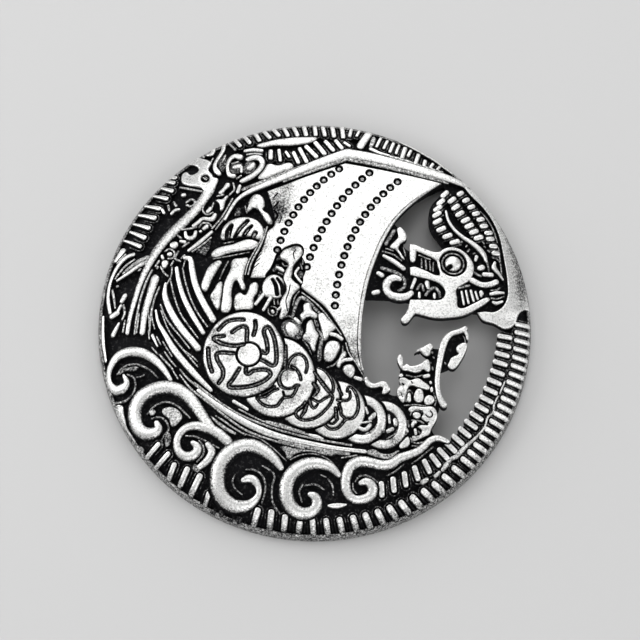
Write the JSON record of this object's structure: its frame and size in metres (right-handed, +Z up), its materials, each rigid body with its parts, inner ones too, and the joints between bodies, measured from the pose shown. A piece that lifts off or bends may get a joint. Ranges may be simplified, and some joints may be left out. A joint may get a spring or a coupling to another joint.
{
  "type": "fibula brooch",
  "caption": "Round openwork brooch: a domed cast disc with a raised ship, dragon and wave relief inside a ribbed border, hollow behind, with a pin across its back.",
  "frame": {"origin": "centre of the rim, in the plane that the rim rests on", "axes": "+Z up out of the face, +Y to the top of the picture, +X to the ship's prow"},
  "size_m": [0.042, 0.042, 0.005],
  "materials": {
    "antique_silver": "satin silver with blackened recesses",
    "pin_steel": "satin"
  },
  "bodies": {
    "root": {"brooch_casting": "antique_silver", "pin_back": "pin_steel"}
  },
  "joints": []
}
